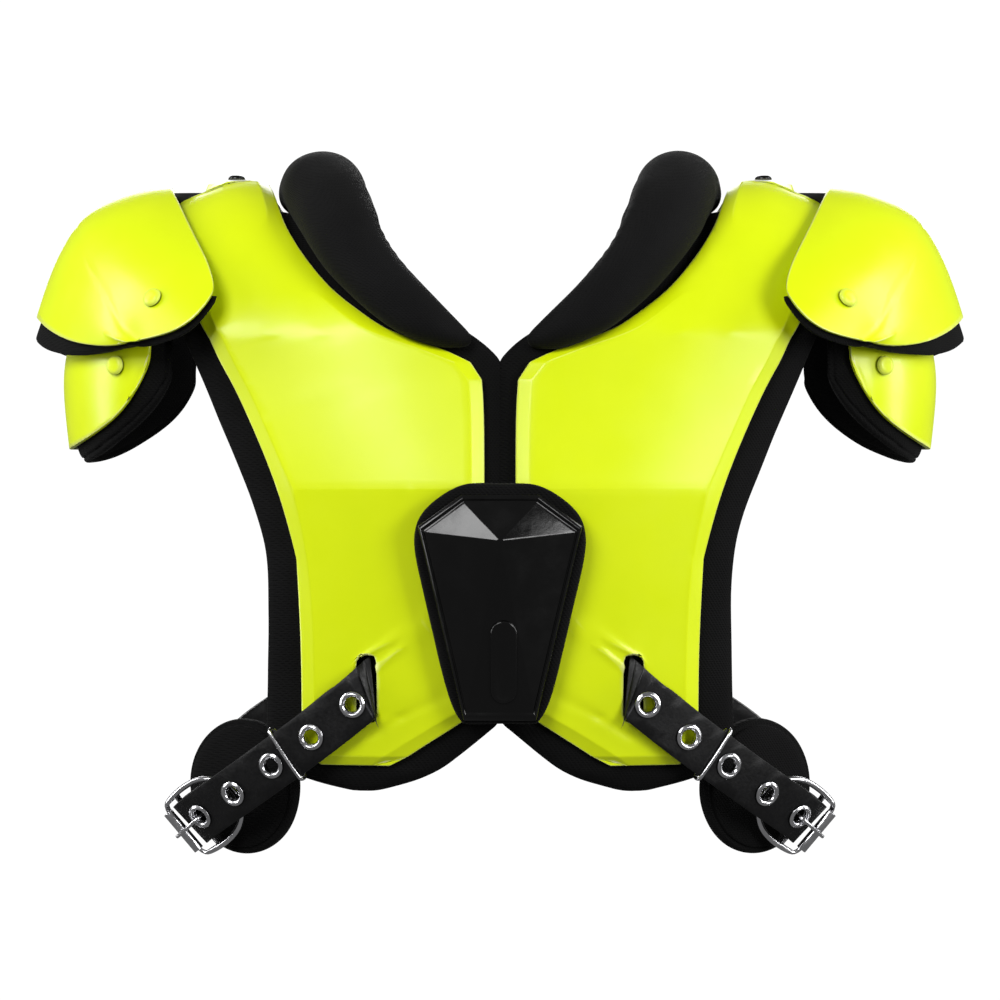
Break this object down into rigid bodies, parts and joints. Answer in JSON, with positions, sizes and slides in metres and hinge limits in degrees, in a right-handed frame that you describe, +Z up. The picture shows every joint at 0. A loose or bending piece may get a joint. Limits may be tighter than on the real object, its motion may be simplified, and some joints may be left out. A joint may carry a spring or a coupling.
{
  "type": "football shoulder pads",
  "caption": "Youth football shoulder pads: arched chest and back plates over foam liners, rolled neck pads, shoulder flaps and cups, faceted breast piece and buckled side straps.",
  "frame": {"origin": "midway between the shoulders, level with the underside of the two shoulder arches", "axes": "+Z up, -Y the way the wearer looks, +X the wearer's left"},
  "size_m": [0.466, 0.2511, 0.3445],
  "materials": {
    "yellow_plastic": "glossy neon yellow-green",
    "black_plastic": "glossy black",
    "black_fabric": "matte black woven cover over foam",
    "black_vinyl": "satin black coated webbing",
    "steel": "bright nickel"
  },
  "bodies": {
    "root": {"front_plate_left": "yellow_plastic", "front_plate_right": "yellow_plastic", "back_plate_left": "yellow_plastic", "back_plate_right": "yellow_plastic", "front_liner_left": "black_fabric", "front_liner_right": "black_fabric", "back_liner_left": "black_fabric", "back_liner_right": "black_fabric", "neck_pad_left": "black_fabric", "neck_pad_right": "black_fabric", "epaulet_left": "yellow_plastic", "epaulet_right": "yellow_plastic", "epaulet_pad_left": "black_fabric", "epaulet_pad_right": "black_fabric", "epaulet_tab_left": "black_vinyl", "epaulet_tab_right": "black_vinyl", "cup_left": "yellow_plastic", "cup_right": "yellow_plastic", "cup_pad_left": "black_fabric", "cup_pad_right": "black_fabric", "strap_left": "black_vinyl", "strap_right": "black_vinyl", "strap_keeper_left": "steel", "strap_keeper_right": "steel", "buckle_frame_left": "steel", "buckle_frame_right": "steel", "buckle_roller_left": "steel", "buckle_roller_right": "steel", "buckle_prong_left": "steel", "buckle_prong_right": "steel", "side_pad_left": "black_fabric", "side_pad_right": "black_fabric", "back_strap_left": "black_vinyl", "back_strap_right": "black_vinyl", "arch_rivet_left": "steel", "arch_rivet_right": "steel", "epaulet_front_rivet_left": "steel", "epaulet_front_rivet_right": "steel", "cup_front_rivet_left": "steel", "cup_front_rivet_right": "steel", "epaulet_back_rivet_left": "steel", "epaulet_back_rivet_right": "steel", "cup_back_rivet_left": "steel", "cup_back_rivet_right": "steel", "strap_eyelet_1_left": "steel", "strap_eyelet_1_right": "steel", "strap_eyelet_2_left": "steel", "strap_eyelet_2_right": "steel", "strap_eyelet_3_left": "steel", "strap_eyelet_3_right": "steel", "strap_eyelet_4_left": "steel", "strap_eyelet_4_right": "steel", "strap_eyelet_5_left": "steel", "strap_eyelet_5_right": "steel", "sternum_pad": "black_fabric", "sternum_plate": "black_plastic", "back_bridge": "black_plastic"}
  },
  "joints": []
}
